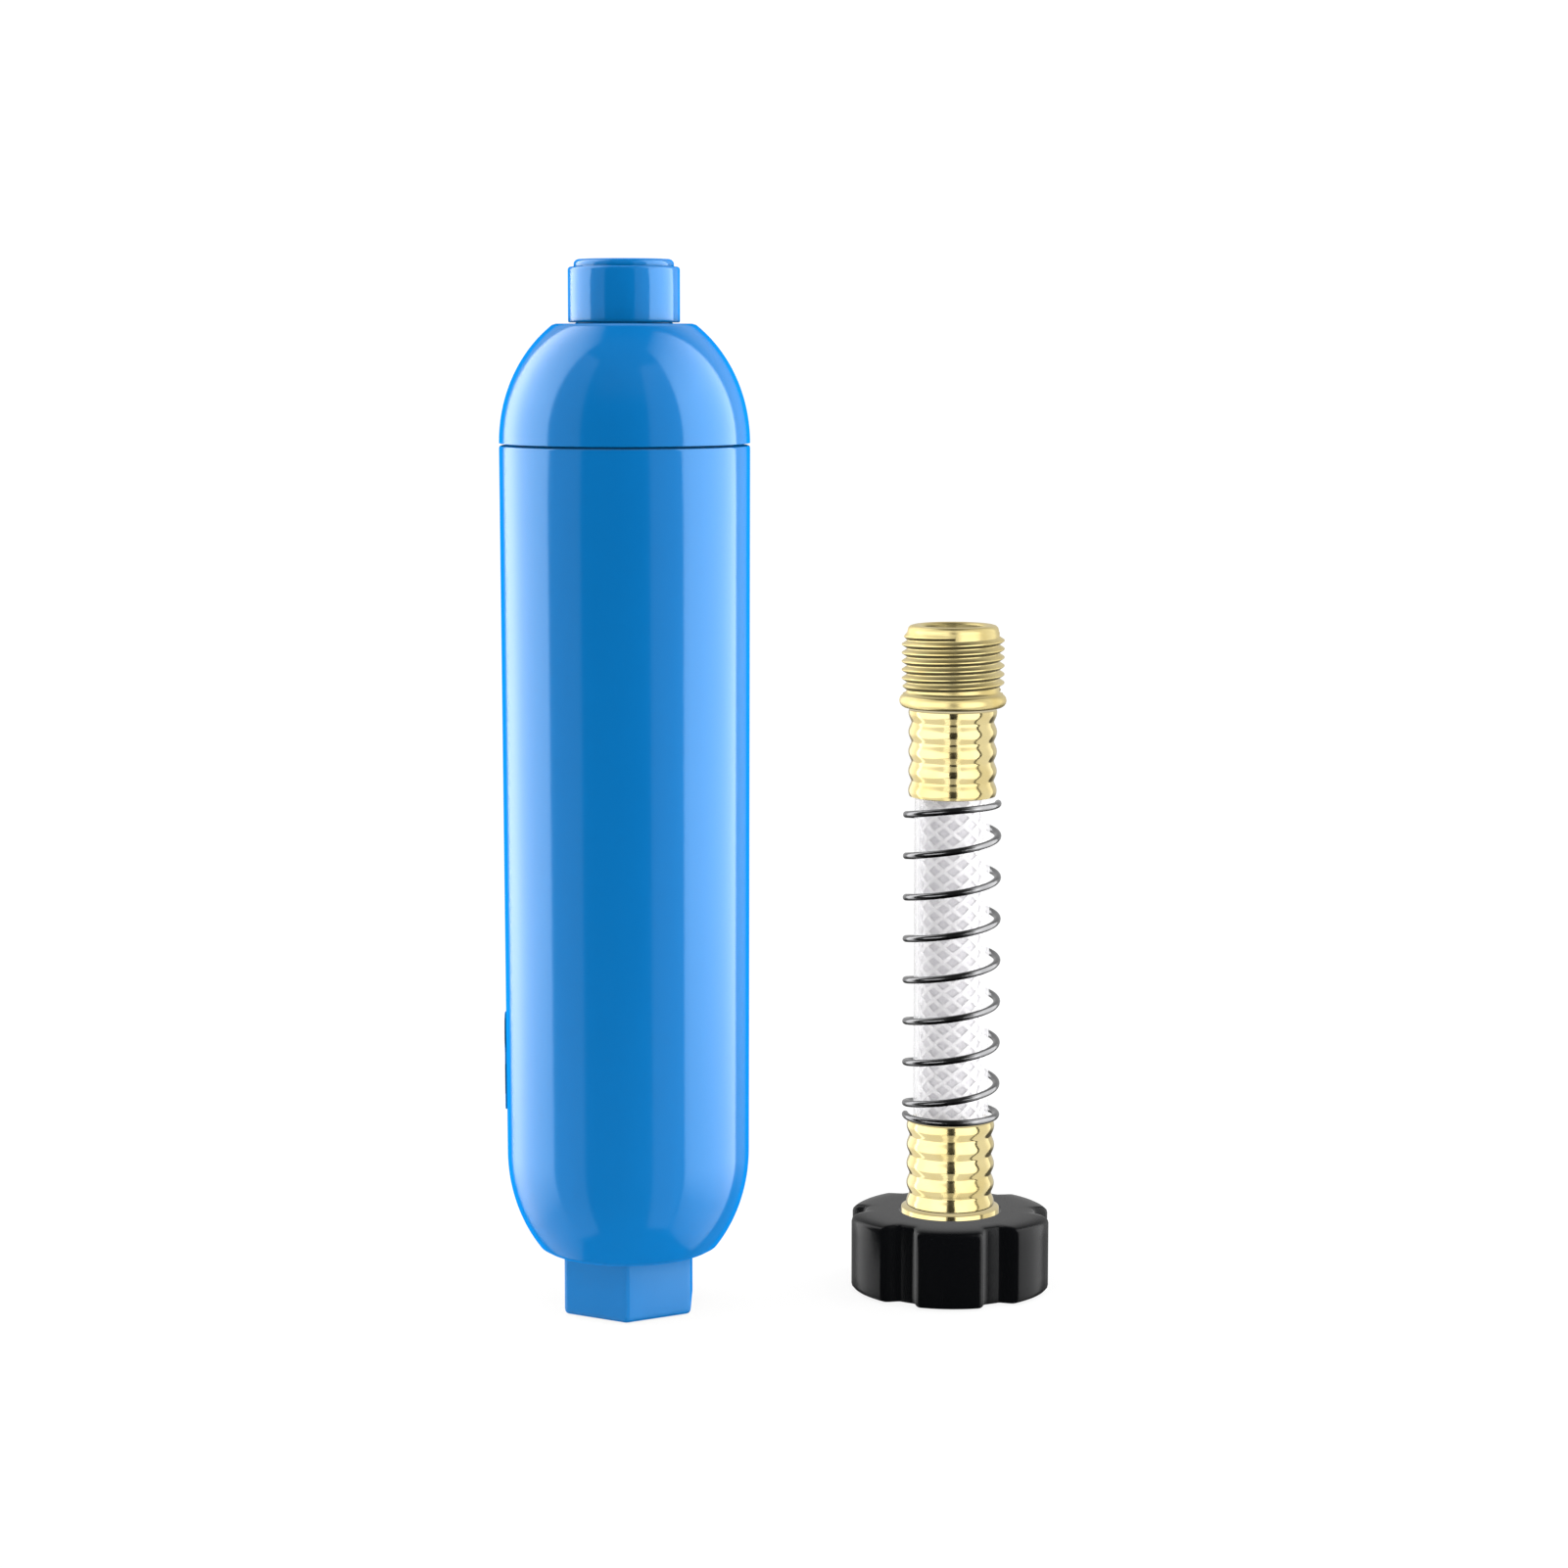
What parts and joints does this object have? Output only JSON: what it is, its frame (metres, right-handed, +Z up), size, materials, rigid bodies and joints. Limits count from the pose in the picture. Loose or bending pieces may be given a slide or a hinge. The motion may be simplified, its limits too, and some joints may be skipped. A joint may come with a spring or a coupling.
{
  "type": "inline water filter",
  "caption": "Blue inline water filter cartridge with hex inlet and capped outlet, beside a short spring-guarded hose protector with grip nut and brass thread.",
  "frame": {"origin": "bottom centre of the box round the cartridge and the hose protector, on the surface both stand on", "axes": "+Z up along both upright axes; +X from the cartridge towards the hose protector; -Y is the front"},
  "size_m": [0.1424, 0.0788, 0.2699],
  "materials": {
    "blue_shell": "glossy moulded sky-blue plastic",
    "rubber": "matt black seal rubber",
    "steel": "bright drawn stainless wire",
    "media_plate": "natural moulded plastic",
    "filter_felt": "off-white needled felt",
    "copper_zinc_media": "loose brass-coloured granules",
    "granular_carbon": "black granular carbon",
    "black_grip": "black moulded plastic with a soft sheen",
    "brass": "pale polished brass",
    "clear_hose": "clear flexible plastic",
    "hose_braid": "white diamond braid"
  },
  "bodies": {
    "filter": {"housing_body": "blue_shell", "housing_cap": "blue_shell", "inlet_washer": "rubber", "inlet_strainer": "steel", "lower_media_plate": "media_plate", "lower_filter_pad": "filter_felt", "kdf_media_bed": "copper_zinc_media", "separator_pad": "filter_felt", "carbon_bed": "granular_carbon", "upper_filter_pad": "filter_felt", "upper_media_plate": "media_plate"},
    "outlet_cap": {"outlet_dust_cap": "blue_shell"},
    "hose_tail": {"tailpiece": "brass", "swivel_o_ring": "rubber", "lower_sleeve": "brass", "hose_liner": "clear_hose", "hose_braid": "hose_braid", "hose_jacket": "clear_hose", "guard_spring": "steel"},
    "swivel_nut": {"swivel_nut_grip": "black_grip", "nut_thread_insert": "brass", "nut_washer": "rubber"},
    "hose_head": {"upper_sleeve": "brass", "male_fitting": "brass"}
  },
  "joints": [
    {"name": "outlet_cap_pull", "type": "slide", "parent": "filter", "child": "outlet_cap", "axis": [0, 0, 1], "range_m": [0, 0.04]},
    {"name": "hose_lift", "type": "slide", "parent": "filter", "child": "hose_tail", "axis": [0, 0, 1], "range_m": [0, 0.12]},
    {"name": "swivel_nut_spin", "type": "hinge", "parent": "hose_tail", "child": "swivel_nut", "pos_m": [0.04491, 0.01268, 0.016], "axis": [0, 0, 1], "continuous": true},
    {"name": "hose_bend", "type": "hinge", "parent": "hose_tail", "child": "hose_head", "pos_m": [0.04491, 0.01268, 0.088], "axis": [0, 1, 0], "range_deg": [-20, 90], "stiffness_Nm_per_rad": 0.8, "deforming": ["hose_liner", "hose_braid", "hose_jacket", "guard_spring"]}
  ]
}
